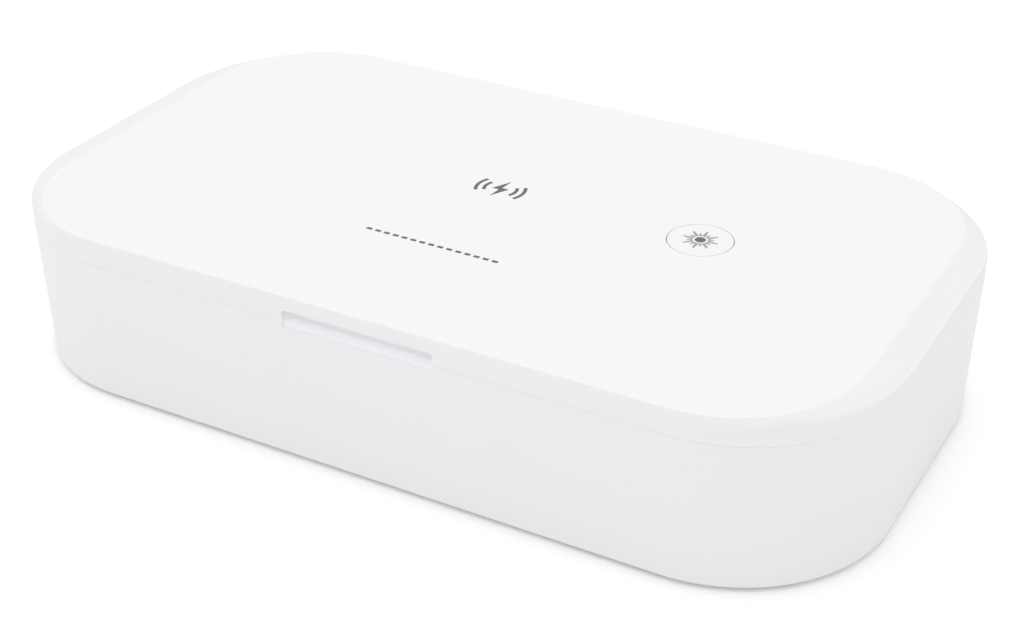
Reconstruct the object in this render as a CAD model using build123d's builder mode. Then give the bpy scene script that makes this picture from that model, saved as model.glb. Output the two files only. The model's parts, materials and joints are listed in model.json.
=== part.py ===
from build123d import *
from math import radians, tan
import os

# Ultraviolet sanitizer box for phones: a shallow rounded box with a mirrored
# chamber, a hinged lid that carries the lamps, a charging coil and one button.
# Millimetres. The origin is on the table under the middle of the box, X runs
# along the box, the hinge is at the back (+Y) and +Z is up.

os.makedirs("parts", exist_ok=True)

# ---------------------------------------------------------------- sizes
# Whole box
length = 220.0
width = 123.0
height = 43.0
corner_radius = 38.0
foot_standoff = 0.8  # height of the base above the table
lid_height = 6.35  # from the top down to the parting line
parting_gap = 0.2
shell_wall = 2.2
wall_draft = 1.5  # degrees

# Lid top: a flat field with one slanted facet at each short end
facet_width = 7.6
facet_drop = 1.2
rim_round = 1.0  # between a facet and the end wall
side_round = 0.6  # between the field and the long sides
lid_thickness = 2.0
notch_width = 38.0  # finger notch in the front skirt
notch_height = 2.75
notch_corner = 0.8
notch_wall = 1.2  # closes the notch towards the inside

# Base shell
floor_thickness = 2.2
base_edge_chamfer = 0.5
wall_rib_thickness = 1.4
wall_rib_reach = 5.0  # from the outer face to the rib's edge
front_rib_xs = (-66.0, -24.0, 24.0, 66.0)
back_rib_xs = (-25.0, 25.0)
end_rib_ys = (-15.0, 15.0)
finger_chamfer = 0.4
ledge_drop = 1.0  # ledge below the rim of the base
ledge_depth = 3.8  # finger ledge under the notch, from the outer face
ledge_gap = 0.15  # ledge to the wall behind it
ledge_skirt_gap = 0.3  # that wall to the tray's flange

# Hinge
hinge_depth = 3.2  # axis to the back face
hinge_drop = 4.5  # axis to the parting line
arm_offset = 45.0  # each hinge arm to the middle
arm_width = 24.0
arm_end_gap = 0.3
arm_core_width = 15.0
arm_web = 1.6
barrel_radius = 2.9
pin_radius = 1.0
pin_running_gap = 0.05
pin_press_gap = 0.02
pin_boss_width = 4.0
pin_end_gap = 0.3
swing_room = 4.6  # below the axis, for the arm's heel when the lid is open
arm_back_room = 0.5
pocket_wall = 1.5

# Chamber tray
tray_fit = 0.3
flange_sink = 1.05  # flange below the rim of the base shell
flange_thickness = 1.5
mouth_inset = 10.0
tray_wall = 1.5
tray_draft = 4.0
tray_bevel = 5.0  # reflecting bevel between floor and wall
tray_floor_top = 9.6
lip_gap = 0.5  # lip to the inside of the lid skirt
lip_wall = 1.2
lip_height = 3.5
lip_end_y = 53.0  # the lip stops short of the hinge side
rail_pitch = 22.0
rail_count = 7
rail_width = 2.2
rail_height = 2.0
rail_length = 58.0
rail_chamfer = 0.5
window_side = 8.6
window_thickness = 0.9
window_lip = 0.7  # width of the ledge that holds a window
window_fit = 0.1
base_lamp_xs = (-55.0, 55.0)
magnet_side = 4.0
magnet_length = 3.0
magnet_cup_wall = 0.8
seat_fit = 0.05  # round the magnet and the bumpers
magnet_inset = 5.4
bumper_length = 9.0
bumper_width = 3.6
bumper_inset = 7.0
bumper_x = 40.0
bumper_seat = 0.5
bumper_gap = 0.2
bumper_chamfer = 0.4

# Feet and the screws between them
foot_length = 18.0
foot_width = 8.0
foot_x = 76.0
foot_y = 42.0
tray_screw_x = 80.0
screw_radius = 1.2
screw_fit = 0.2
screw_bite = 0.05  # pilot holes are this much wider than the screw core
screw_head_radius = 2.3
screw_head_height = 1.0
screw_head_recess = 1.1
screw_length = 6.0
post_side = 6.0
post_gap = 0.1  # tray post to the floor of the shell

# Power board and its socket
socket_width = 8.94
socket_height = 3.26
socket_length = 7.3
socket_wall = 0.3
socket_recess = 0.7  # mouth behind the back face
socket_back = 1.2  # closed end of the socket
socket_tongue_width = 6.7
socket_tongue_thickness = 0.7
socket_tongue_setback = 0.9
port_gap = 0.4
power_board_length = 44.0
power_board_width = 29.0
board_thickness = 1.2
power_board_standoff = 1.6
board_gap = 0.3
standoff_side = 4.4
peg_side = 2.0  # moulded pegs through the boards and the liner
peg_fit = 0.1
peg_head_side = 3.2
peg_head_height = 0.8
peg_margin = 3.6  # peg to the edges of its board
power_part_xs = (-14.0, -5.0, 5.0, 14.0)
power_part_side = 4.5
power_part_height = 1.7
power_part_setback = 6.0

# Lamps
lamp_board_thickness = 1.0
lamp_side = 3.5
lamp_height = 1.2
lamp_glass_side = 2.6
lamp_glass_height = 0.2
lamp_window_gap = 0.3
lamp_board_seat = 3.0  # length of the blocks that a lamp board is bonded to
base_lamp_board_length = 24.0
base_lamp_board_width = 11.0
lid_lamp_xs = (-55.0, 0.0, 55.0)
lid_lamp_y = 34.0
lid_strip_length = 132.0
lid_strip_width = 9.0
lid_strip_seat_x = 27.5

# Lid liner
liner_flange_inset = 6.5
liner_flange_thickness = 1.4
liner_flange_drop = 2.6  # flange below the lid's ceiling
liner_pan_inset = 12.0
liner_pan_depth = 6.0  # below the flange
liner_wall = 1.5
liner_draft = 2.0
liner_pan_chamfer = 1.5
liner_peg_inset = 9.2
liner_peg_xs = (-68.0, 0.0, 68.0)
lid_rib_thickness = 1.0
lid_rib_depth = 2.2
lid_rib_length = 80.0
lid_rib_xs = (-78.0, -62.0, -46.0, 88.0)

# Charging coil
coil_button_distance = 52.5
coil_y = 3.0
coil_radius = 25.0
coil_hole_radius = 10.0
coil_thickness = 1.2
coil_gap = 0.2
ferrite_side = 54.0
ferrite_thickness = 0.8
ferrite_fit = 0.3
ferrite_rib = 1.0
ferrite_rib_overhang = 0.6
coil_lead_width = 1.0
coil_lead_thickness = 0.6
coil_lead_spacing = 3.0
coil_lead_slot = 6.0
coil_lead_run = 5.0  # level stretch at the coil
coil_lead_tail = 3.0  # soldered stretch on the board

# Button, its switch and the control board
button_end_distance = 60.0  # button to the right end of the box
button_y = 5.7
button_radius = 7.55
button_gap = 0.25
button_flange_side = 17.0  # square, so that the cap keeps its heading
button_flange_thickness = 0.8
button_flange_gap = 0.15
button_post_side = 3.6
button_travel = 0.5
switch_side = 6.0
switch_height = 1.6
switch_stem_side = 3.2
switch_stem_gap = 0.1
switch_stem_height = 0.8
switch_well_depth = 1.1
control_board_length = 46.0
control_board_width = 40.0
control_board_offset = 10.0  # board's middle beyond the button
control_board_y = 3.0
control_board_drop = 3.4  # board's upper face below the lid's ceiling
control_part_side = 5.0
control_part_height = 2.4
control_part_pitch_x = 20.0
control_part_pitch_y = 18.0
ribbon_width = 5.0
ribbon_thickness = 0.4
lid_ribbon_offset = -4.0  # from the middle of the control board
lid_ribbon_tail = 5.0  # soldered stretch at either end
base_ribbon_inset = 6.0  # from the middle of a lamp towards the middle of the box
base_ribbon_end = 6.0  # in from the front edge of the power board
base_ribbon_tail = 6.0  # stretch under the power board
hall_length = 4.0
hall_width = 3.0
hall_height = 1.5
hall_margin = 3.0
status_led_length = 1.6
status_led_width = 0.8
status_led_height = 0.7
status_led_offset = 4.6
switch_stem_seat = 0.2  # left under the stem when the button is down

# ---------------------------------------------------------------- levels and places
half_length = length / 2
half_width = width / 2
parting_height = height - lid_height
base_top = parting_height - parting_gap / 2
lid_bottom = parting_height + parting_gap / 2
rim_height = height - facet_drop
ceiling = height - lid_thickness
floor_top = foot_standoff + floor_thickness
hinge_y = half_width - hinge_depth
hinge_z = parting_height - hinge_drop
hinge_xs = (-arm_offset, arm_offset)
pocket_width = arm_width + 2 * arm_end_gap
pocket_back = hinge_y - barrel_radius - arm_back_room
pocket_floor = hinge_z - swing_room
pocket_block_width = pocket_width + 2 * pin_boss_width
flange_top = base_top - flange_sink
flange_bottom = flange_top - flange_thickness
tray_floor_bottom = tray_floor_top - tray_wall
lip_inset = shell_wall + lip_gap
foot_points = [(x, y) for x in (-foot_x, foot_x) for y in (-foot_y, foot_y)]
tray_post_bottom = floor_top + post_gap
tray_screw_points = [(x, 0) for x in (-tray_screw_x, tray_screw_x)]
tray_screw_seat = foot_standoff + screw_head_recess
power_board_bottom = floor_top + power_board_standoff
power_board_top = power_board_bottom + board_thickness
socket_z = power_board_top + socket_height / 2
socket_mouth_y = half_width - socket_recess
wall_lean = (base_top - power_board_bottom) * tan(radians(wall_draft))
power_board_back_y = half_width - shell_wall - wall_lean - board_gap
power_board_y = power_board_back_y - power_board_width / 2
liner_flange_top = ceiling - liner_flange_drop
liner_flange_bottom = liner_flange_top - liner_flange_thickness
pan_bottom = liner_flange_bottom - liner_pan_depth
pan_floor = pan_bottom + liner_wall
lid_lamp_points = [(x, y) for y in (-lid_lamp_y, lid_lamp_y) for x in lid_lamp_xs]
lid_window_seat = pan_floor - window_thickness
lid_lamp_bottom = pan_floor + lamp_window_gap + lamp_glass_height
lid_strip_bottom = lid_lamp_bottom + lamp_height
base_lamp_top = tray_floor_bottom - lamp_window_gap - lamp_glass_height
base_lamp_board_top = base_lamp_top - lamp_height
control_board_top = ceiling - control_board_drop
control_board_bottom = control_board_top - board_thickness
button_x = half_length - button_end_distance
coil_x = button_x - coil_button_distance
control_board_x = button_x + control_board_offset
coil_top = ceiling - coil_gap
ferrite_top = coil_top - coil_thickness
button_flange_top = ceiling - button_flange_gap
button_flange_bottom = button_flange_top - button_flange_thickness
switch_top = control_board_top + switch_height
stem_top = switch_top + switch_stem_height
liner_peg_points = [
    (x, y) for x in liner_peg_xs for y in (liner_peg_inset - half_width, half_width - liner_peg_inset)
]
control_peg_points = [
    (control_board_x + side_x * (control_board_length / 2 - peg_margin),
     control_board_y + side_y * (control_board_width / 2 - peg_margin))
    for side_x in (-1, 1)
    for side_y in (-1, 1)
]
control_part_points = [
    (control_board_x + side_x * control_part_pitch_x / 2, control_board_y + side_y * control_part_pitch_y / 2)
    for side_x in (-1, 1)
    for side_y in (-1, 1)
]
power_peg_points = [(side * (power_board_length / 2 - peg_margin), power_board_y) for side in (-1, 1)]
base_seat_points = [
    (x + side * (base_lamp_board_length - lamp_board_seat) / 2, 0) for x in base_lamp_xs for side in (-1, 1)
]
strip_seat_points = [
    (x, y) for x in (-lid_strip_seat_x, lid_strip_seat_x) for y in (-lid_lamp_y, lid_lamp_y)
]
bumper_points = [(x, bumper_inset - half_width) for x in (-bumper_x, bumper_x)]


def outline(inset, mode=Mode.ADD):
    """Plan outline of the box, moved in from its outer face."""
    RectangleRounded(length - 2 * inset, width - 2 * inset, corner_radius - inset, mode=mode)


def add_pegs(points, seat, grip, way):
    """Square pegs that pass through a plate of thickness grip and end in melted-over heads."""
    along = Align.MIN if way > 0 else Align.MAX
    with Locations(*[(x, y, seat) for x, y in points]):
        Box(peg_side, peg_side, grip, align=(Align.CENTER, Align.CENTER, along))
    with Locations(*[(x, y, seat + way * grip) for x, y in points]):
        Box(peg_head_side, peg_head_side, peg_head_height, align=(Align.CENTER, Align.CENTER, along))


def cut_peg_holes(points):
    """Holes for such pegs, in the sketch that is open."""
    with Locations(*points):
        Rectangle(peg_side + 2 * peg_fit, peg_side + 2 * peg_fit, mode=Mode.SUBTRACT)


# ---------------------------------------------------------------- base shell
with BuildPart() as base_cavity:
    with BuildSketch(Plane.XY.offset(base_top)):
        outline(shell_wall)
    extrude(amount=floor_top - base_top, taper=wall_draft)
    # the two hinge pockets stay solid inside the back wall, on sloping undersides
    for x in hinge_xs:
        with BuildSketch(Plane.YZ.offset(x - pocket_block_width / 2)):
            with BuildLine():
                block_front = pocket_back - pocket_wall
                block_bottom = pocket_floor - pocket_wall
                Polyline(
                    (block_front, height),
                    (block_front, block_bottom),
                    (half_width, block_bottom - (half_width - block_front)),
                    (half_width, height),
                    close=True,
                )
            make_face()
        extrude(amount=pocket_block_width, mode=Mode.SUBTRACT)

with BuildPart() as base_shell:
    with BuildSketch(Plane.XY.offset(base_top)):
        outline(0)
    extrude(amount=foot_standoff - base_top, taper=wall_draft)
    chamfer(base_shell.edges().group_by(Axis.Z)[0], base_edge_chamfer)
    add(base_cavity.part, mode=Mode.SUBTRACT)

    # ribs on the inside of the wall carry the tray's flange
    rib_height = flange_bottom - floor_top + floor_thickness / 2
    rib_depth = wall_rib_reach - shell_wall / 2
    with Locations(*[(x, wall_rib_reach - half_width, flange_bottom) for x in front_rib_xs]):
        Box(wall_rib_thickness, rib_depth, rib_height, align=(Align.CENTER, Align.MAX, Align.MAX))
    with Locations(*[(x, half_width - wall_rib_reach, flange_bottom) for x in back_rib_xs]):
        Box(wall_rib_thickness, rib_depth, rib_height, align=(Align.CENTER, Align.MIN, Align.MAX))
    with Locations(*[(wall_rib_reach - half_length, y, flange_bottom) for y in end_rib_ys]):
        Box(rib_depth, wall_rib_thickness, rib_height, align=(Align.MAX, Align.CENTER, Align.MAX))
    with Locations(*[(half_length - wall_rib_reach, y, flange_bottom) for y in end_rib_ys]):
        Box(rib_depth, wall_rib_thickness, rib_height, align=(Align.MIN, Align.CENTER, Align.MAX))

    # hinge pockets, open to the top and the back, with the bores of the pins
    with Locations(*[(x, pocket_back, pocket_floor) for x in hinge_xs]):
        Box(pocket_width, width, height, align=(Align.CENTER, Align.MIN, Align.MIN), mode=Mode.SUBTRACT)
    for x in hinge_xs:
        with BuildSketch(Plane.YZ.offset(x - pocket_block_width / 2)):
            with Locations((hinge_y, hinge_z)):
                Circle(pin_radius + pin_press_gap)
        extrude(amount=pocket_block_width, mode=Mode.SUBTRACT)
    # back edge rounded about the hinge axis, so the lid rolls over it
    with BuildSketch(Plane.YZ.offset(-half_length)):
        with Locations((hinge_y, hinge_z)):
            Rectangle(2 * hinge_drop, 2 * hinge_drop, align=(Align.MIN, Align.MIN))
            Circle(base_top - hinge_z, mode=Mode.SUBTRACT)
    extrude(amount=length, mode=Mode.SUBTRACT)

    # port for the power socket
    with BuildSketch(Plane.XZ.offset(-half_width - 1)):
        with Locations((0, socket_z)):
            SlotOverall(socket_width + 2 * port_gap, socket_height + 2 * port_gap)
    extrude(amount=2 * shell_wall + 1, mode=Mode.SUBTRACT)

    # recessed holes for the tray screws
    with Locations(*[Plane(origin=(x, y, foot_standoff), z_dir=(0, 0, -1)) for x, y in tray_screw_points]):
        CounterBoreHole(
            radius=screw_radius + screw_fit,
            counter_bore_radius=screw_head_radius + screw_fit,
            counter_bore_depth=screw_head_recess,
            depth=floor_thickness,
        )

    # standoffs and pegs of the power board
    with Locations(*[(x, y, floor_top) for x, y in power_peg_points]):
        Box(standoff_side, standoff_side, power_board_standoff, align=(Align.CENTER, Align.CENTER, Align.MIN))
    add_pegs(power_peg_points, power_board_bottom, board_thickness, 1)

    # finger ledge under the notch of the lid, on a sloping underside, with its front edge broken
    ledge_width = notch_width + 2 * notch_wall
    ledge_top = base_top - ledge_drop
    with BuildSketch(Plane.YZ.offset(-ledge_width / 2)):
        with BuildLine():
            Polyline(
                (-half_width + shell_wall / 2, base_top),
                (-half_width + ledge_depth, base_top),
                (-half_width + ledge_depth, ledge_top - shell_wall / 2),
                (-half_width + shell_wall / 2, ledge_top - ledge_depth),
                close=True,
            )
        make_face()
    extrude(amount=ledge_width)
    with BuildSketch(Plane.YZ.offset(-notch_width / 2)):
        with BuildLine():
            Polyline(
                (-half_width - 1, base_top + 1),
                (-half_width - 1, ledge_top - finger_chamfer - 1),
                (-half_width + finger_chamfer, ledge_top),
                (-half_width + ledge_depth + 1, ledge_top),
                (-half_width + ledge_depth + 1, base_top + 1),
                close=True,
            )
        make_face()
    extrude(amount=notch_width, mode=Mode.SUBTRACT)
base_shell.part.label = "base_shell"

# ---------------------------------------------------------------- chamber tray
with BuildPart() as chamber_space:
    with BuildSketch(Plane.XY.offset(flange_top)):
        outline(mouth_inset)
    extrude(amount=tray_floor_top - flange_top, taper=tray_draft)
    chamfer(chamber_space.edges().group_by(Axis.Z)[0], tray_bevel)

with BuildPart() as chamber_tray:
    with BuildSketch(Plane.XY.offset(flange_top)):
        outline(mouth_inset - tray_wall)
    extrude(amount=tray_floor_bottom - flange_top, taper=tray_draft)
    chamfer(chamber_tray.edges().group_by(Axis.Z)[0], tray_bevel)
    with BuildSketch(Plane.XY.offset(flange_bottom)):
        outline(shell_wall + tray_fit)
    extrude(amount=flange_thickness)
    # raised lip that keeps the light in
    with BuildSketch(Plane.XY.offset(flange_top)):
        outline(lip_inset)
        outline(lip_inset + lip_wall, mode=Mode.SUBTRACT)
        with Locations((0, lip_end_y)):
            Rectangle(length, width, align=(Align.CENTER, Align.MIN), mode=Mode.SUBTRACT)
    extrude(amount=lip_height)
    add(chamber_space.part, mode=Mode.SUBTRACT)

    # rails that hold a phone off the floor
    with BuildSketch(Plane.XY.offset(tray_floor_top)):
        with GridLocations(rail_pitch, rail_pitch, rail_count, 1):
            Rectangle(rail_width, rail_length)
    extrude(amount=rail_height)
    rail_level = tray_floor_top + rail_height
    chamfer(chamber_tray.edges().filter_by_position(Axis.Z, rail_level, rail_level), rail_chamfer)

    # lamp windows, let in from below
    with BuildSketch(Plane.XY.offset(tray_floor_bottom)):
        with Locations(*[(x, 0) for x in base_lamp_xs]):
            Rectangle(window_side - 2 * window_lip, window_side - 2 * window_lip)
    extrude(amount=tray_wall, mode=Mode.SUBTRACT)
    with BuildSketch(Plane.XY.offset(tray_floor_bottom)):
        with Locations(*[(x, 0) for x in base_lamp_xs]):
            Rectangle(window_side + 2 * window_fit, window_side + 2 * window_fit)
    extrude(amount=window_thickness, mode=Mode.SUBTRACT)

    # seats of the lamp boards
    with BuildSketch(Plane.XY.offset(tray_floor_bottom)):
        with Locations(*base_seat_points):
            Rectangle(lamp_board_seat, base_lamp_board_width)
    extrude(amount=base_lamp_board_top - tray_floor_bottom)

    # posts for the tray screws
    with BuildSketch(Plane.XY.offset(tray_post_bottom)):
        with Locations(*tray_screw_points):
            Rectangle(post_side, post_side)
    extrude(amount=tray_floor_bottom - tray_post_bottom)
    with BuildSketch(Plane.XY.offset(tray_post_bottom)):
        with Locations(*tray_screw_points):
            Circle(screw_radius + screw_bite)
    extrude(amount=tray_floor_bottom - tray_post_bottom, mode=Mode.SUBTRACT)

    # flange and lip cut back behind the finger ledge
    with Locations((0, ledge_depth + tray_fit - half_width, flange_bottom)):
        Box(
            notch_width + 2 * (notch_wall + lip_gap), width, height,
            align=(Align.CENTER, Align.MAX, Align.CENTER), mode=Mode.SUBTRACT,
        )

    # flange cut back round the hinge pockets
    with Locations(*[(x, pocket_back - pocket_wall - tray_fit, flange_bottom) for x in hinge_xs]):
        Box(
            pocket_block_width + 2 * tray_fit, width, height,
            align=(Align.CENTER, Align.MIN, Align.CENTER), mode=Mode.SUBTRACT,
        )

    # cup for the magnet that the lid's sensor reads
    cup_side = magnet_side + 2 * seat_fit + 2 * magnet_cup_wall
    with Locations((half_length - magnet_inset, 0, flange_bottom)):
        Box(cup_side, cup_side, magnet_length, align=(Align.CENTER, Align.CENTER, Align.MAX))
        Box(
            magnet_side + 2 * seat_fit, magnet_side + 2 * seat_fit, magnet_length,
            align=(Align.CENTER, Align.CENTER, Align.MAX), mode=Mode.SUBTRACT,
        )

    # seats of the two bumpers
    with Locations(*[(x, y, flange_top) for x, y in bumper_points]):
        Box(
            bumper_length + 2 * seat_fit, bumper_width + 2 * seat_fit, bumper_seat,
            align=(Align.CENTER, Align.CENTER, Align.MAX), mode=Mode.SUBTRACT,
        )
chamber_tray.part.label = "chamber_tray"

# ---------------------------------------------------------------- lid shell
with BuildPart() as lid_shell:
    with BuildSketch(Plane.XY.offset(lid_bottom)):
        outline(0)
    extrude(amount=rim_height - rim_round - lid_bottom)
    # crown: inset at the ends, inset at the sides and level of each of its rings
    for end_inset, side_inset, level in (
        (0, 0, rim_height - rim_round),
        (0.3 * rim_round, 0.04 * side_round, rim_height - 0.3 * rim_round),
        (rim_round, 0.1 * side_round, rim_height),
        (facet_width - rim_round / 2, side_round / 2, height - facet_drop / 15),
        (facet_width, side_round, height),
    ):
        with BuildSketch(Plane.XY.offset(level)):
            RectangleRounded(length - 2 * end_inset, width - 2 * side_inset, corner_radius - end_inset)
    loft(ruled=True)
    with BuildSketch(Plane.XY.offset(lid_bottom)):
        outline(shell_wall)
    extrude(amount=ceiling - lid_bottom, mode=Mode.SUBTRACT)

    # hinge arms: two lugs and a back web each
    for x in hinge_xs:
        with BuildSketch(Plane.YZ.offset(x - arm_width / 2)):
            with Locations((hinge_y, hinge_z)):
                Circle(barrel_radius)
                Rectangle(
                    2 * barrel_radius, ceiling - hinge_z + lid_thickness / 2, align=(Align.CENTER, Align.MIN)
                )
        extrude(amount=arm_width)
        with BuildSketch(Plane.YZ.offset(x - arm_core_width / 2)):
            with Locations((hinge_y + barrel_radius - arm_web, ceiling)):
                Rectangle(2 * barrel_radius, ceiling - pocket_floor, align=(Align.MAX, Align.MAX))
        extrude(amount=arm_core_width, mode=Mode.SUBTRACT)
        with BuildSketch(Plane.YZ.offset(x - arm_width / 2)):
            with Locations((hinge_y, hinge_z)):
                Circle(pin_radius + pin_running_gap)
        extrude(amount=arm_width, mode=Mode.SUBTRACT)

    # stiffening ribs under the ceiling
    with Locations(*[(x, 0, ceiling) for x in lid_rib_xs]):
        Box(lid_rib_thickness, lid_rib_length, lid_rib_depth, align=(Align.CENTER, Align.CENTER, Align.MAX))

    # frame that holds the ferrite sheet, with a slot for the leads of the coil
    frame_side = ferrite_side + 2 * ferrite_fit
    frame_bottom = ferrite_top - ferrite_thickness - ferrite_rib_overhang
    with BuildSketch(Plane.XY.offset(ceiling)):
        with Locations((coil_x, coil_y)):
            Rectangle(frame_side + 2 * ferrite_rib, frame_side + 2 * ferrite_rib)
            Rectangle(frame_side, frame_side, mode=Mode.SUBTRACT)
            with Locations((frame_side / 2, 0)):
                Rectangle(
                    2 * ferrite_rib, coil_lead_slot, align=(Align.MIN, Align.CENTER), mode=Mode.SUBTRACT
                )
    extrude(amount=frame_bottom - ceiling)

    # standoffs and pegs of the liner and of the control board
    with Locations(*[(x, y, ceiling) for x, y in liner_peg_points]):
        Box(standoff_side, standoff_side, liner_flange_drop, align=(Align.CENTER, Align.CENTER, Align.MAX))
    add_pegs(liner_peg_points, liner_flange_top, liner_flange_thickness, -1)
    with Locations(*[(x, y, ceiling) for x, y in control_peg_points]):
        Box(standoff_side, standoff_side, control_board_drop, align=(Align.CENTER, Align.CENTER, Align.MAX))
    add_pegs(control_peg_points, control_board_top, board_thickness, -1)

    # button hole
    with BuildSketch(Plane.XY.offset(ceiling)):
        with Locations((button_x, button_y)):
            Circle(button_radius + button_gap)
    extrude(amount=lid_thickness, mode=Mode.SUBTRACT)

    # wall behind the finger notch
    block_depth = ledge_depth + ledge_gap + notch_wall
    with Locations((0, block_depth - half_width, ceiling)):
        Box(
            notch_width + 2 * notch_wall, block_depth - shell_wall / 2, ceiling - lid_bottom,
            align=(Align.CENTER, Align.MAX, Align.MAX),
        )
        Box(
            notch_width + 2 * notch_wall, notch_wall, ceiling - flange_top - ledge_skirt_gap,
            align=(Align.CENTER, Align.MAX, Align.MAX),
        )

    # finger notch through the front skirt
    with BuildSketch(Plane.XZ.offset(half_width + 1)):
        with Locations((0, lid_bottom + notch_height)):
            Rectangle(notch_width, 2 * notch_height, align=(Align.CENTER, Align.MAX))
        fillet(vertices().group_by(Axis.Z)[-1], notch_corner)
    extrude(amount=-(1 + ledge_depth + ledge_gap), mode=Mode.SUBTRACT)
lid_shell.part.label = "lid_shell"

# ---------------------------------------------------------------- lid liner
with BuildPart() as lid_liner:
    with BuildSketch(Plane.XY.offset(liner_flange_bottom)):
        outline(liner_pan_inset)
    extrude(amount=-liner_pan_depth, taper=liner_draft)
    chamfer(lid_liner.edges().group_by(Axis.Z)[0], liner_pan_chamfer)
    with BuildSketch(Plane.XY.offset(liner_flange_bottom)):
        outline(liner_flange_inset)
        cut_peg_holes(liner_peg_points)
    extrude(amount=liner_flange_thickness)
    with BuildSketch(Plane.XY.offset(liner_flange_top)):
        outline(liner_pan_inset + liner_wall)
    extrude(amount=pan_floor - liner_flange_top, taper=liner_draft, mode=Mode.SUBTRACT)
    # lamp windows, let in from above
    with BuildSketch(Plane.XY.offset(pan_bottom)):
        with Locations(*lid_lamp_points):
            Rectangle(window_side - 2 * window_lip, window_side - 2 * window_lip)
    extrude(amount=liner_wall, mode=Mode.SUBTRACT)
    with BuildSketch(Plane.XY.offset(lid_window_seat)):
        with Locations(*lid_lamp_points):
            Rectangle(window_side + 2 * window_fit, window_side + 2 * window_fit)
    extrude(amount=window_thickness, mode=Mode.SUBTRACT)
    # seats of the lamp strips
    with BuildSketch(Plane.XY.offset(pan_floor)):
        with Locations(*strip_seat_points):
            Rectangle(lamp_board_seat, lid_strip_width)
    extrude(amount=lid_strip_bottom - pan_floor)
lid_liner.part.label = "lid_liner"

# ---------------------------------------------------------------- hinge pins
with BuildPart() as hinge_pins:
    pin_length = pocket_block_width - 2 * pin_end_gap
    for x in hinge_xs:
        with BuildSketch(Plane.YZ.offset(x - pin_length / 2)):
            with Locations((hinge_y, hinge_z)):
                Circle(pin_radius)
        extrude(amount=pin_length)
hinge_pins.part.label = "hinge_pins"

# ---------------------------------------------------------------- feet, bumpers and magnet
with BuildPart() as rubber_feet:
    with Locations(*foot_points):
        Box(foot_length, foot_width, foot_standoff, align=(Align.CENTER, Align.CENTER, Align.MIN))
rubber_feet.part.label = "rubber_feet"

with BuildPart() as lid_bumpers:
    bumper_height = liner_flange_bottom - bumper_gap - flange_top + bumper_seat
    with Locations(*[(x, y, flange_top - bumper_seat) for x, y in bumper_points]):
        Box(bumper_length, bumper_width, bumper_height, align=(Align.CENTER, Align.CENTER, Align.MIN))
    chamfer(lid_bumpers.edges().group_by(Axis.Z)[-1], bumper_chamfer)
lid_bumpers.part.label = "lid_bumpers"

with BuildPart() as lid_magnet:
    with Locations((half_length - magnet_inset, 0, flange_bottom)):
        Box(magnet_side, magnet_side, magnet_length, align=(Align.CENTER, Align.CENTER, Align.MAX))
lid_magnet.part.label = "lid_magnet"

# ---------------------------------------------------------------- power board
with BuildPart() as power_board:
    with BuildSketch(Plane.XY.offset(power_board_bottom)):
        with Locations((0, power_board_y)):
            Rectangle(power_board_length, power_board_width)
        cut_peg_holes(power_peg_points)
    extrude(amount=board_thickness)
power_board.part.label = "power_board"

with BuildPart() as power_parts:
    # capacitor, coil and controller, clear of the tray above them
    with Locations(*[(x, power_board_y - power_part_setback, power_board_top) for x in power_part_xs]):
        Box(
            power_part_side, power_part_side, power_part_height,
            align=(Align.CENTER, Align.CENTER, Align.MIN),
        )
power_parts.part.label = "power_parts"

with BuildPart() as usb_socket:
    with BuildSketch(Plane.XZ.offset(-socket_mouth_y)):
        with Locations((0, socket_z)):
            SlotOverall(socket_width, socket_height)
            SlotOverall(socket_width - 2 * socket_wall, socket_height - 2 * socket_wall, mode=Mode.SUBTRACT)
    extrude(amount=socket_length)
    with BuildSketch(Plane.XZ.offset(-socket_mouth_y + socket_length - socket_back)):
        with Locations((0, socket_z)):
            SlotOverall(socket_width - socket_wall, socket_height - socket_wall)
    extrude(amount=socket_back)
usb_socket.part.label = "usb_socket"

with BuildPart() as usb_tongue:
    with Locations((0, socket_mouth_y - socket_length + socket_back, socket_z)):
        Box(
            socket_tongue_width, socket_length - socket_back - socket_tongue_setback, socket_tongue_thickness,
            align=(Align.CENTER, Align.MIN, Align.CENTER),
        )
usb_tongue.part.label = "usb_tongue"

# ---------------------------------------------------------------- lamps
lamp_groups = {
    "base_lamps": ([(x, 0) for x in base_lamp_xs], base_lamp_board_top, 1),
    "lid_lamps": (lid_lamp_points, lid_strip_bottom, -1),
}
lamps = []
for name, (points, level, way) in lamp_groups.items():
    with BuildPart() as lamp_group:
        with BuildSketch(Plane.XY.offset(level)):
            with Locations(*points):
                Rectangle(lamp_side, lamp_side)
        extrude(amount=way * lamp_height)
        with BuildSketch(Plane.XY.offset(level + way * lamp_height)):
            with Locations(*points):
                Rectangle(lamp_glass_side, lamp_glass_side)
        extrude(amount=way * lamp_glass_height)
    lamp_group.part.label = name
    lamps.append(lamp_group)

with BuildPart() as base_lamp_boards:
    with Locations(*[(x, 0, base_lamp_board_top) for x in base_lamp_xs]):
        Box(
            base_lamp_board_length, base_lamp_board_width, lamp_board_thickness,
            align=(Align.CENTER, Align.CENTER, Align.MAX),
        )
base_lamp_boards.part.label = "base_lamp_boards"

with BuildPart() as lid_lamp_strips:
    with Locations(*[(0, y, lid_strip_bottom) for y in (-lid_lamp_y, lid_lamp_y)]):
        Box(
            lid_strip_length, lid_strip_width, lamp_board_thickness,
            align=(Align.CENTER, Align.CENTER, Align.MIN),
        )
lid_lamp_strips.part.label = "lid_lamp_strips"

with BuildPart() as base_windows:
    with Locations(*[(x, 0, tray_floor_bottom) for x in base_lamp_xs]):
        Box(window_side, window_side, window_thickness, align=(Align.CENTER, Align.CENTER, Align.MIN))
base_windows.part.label = "base_windows"

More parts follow.
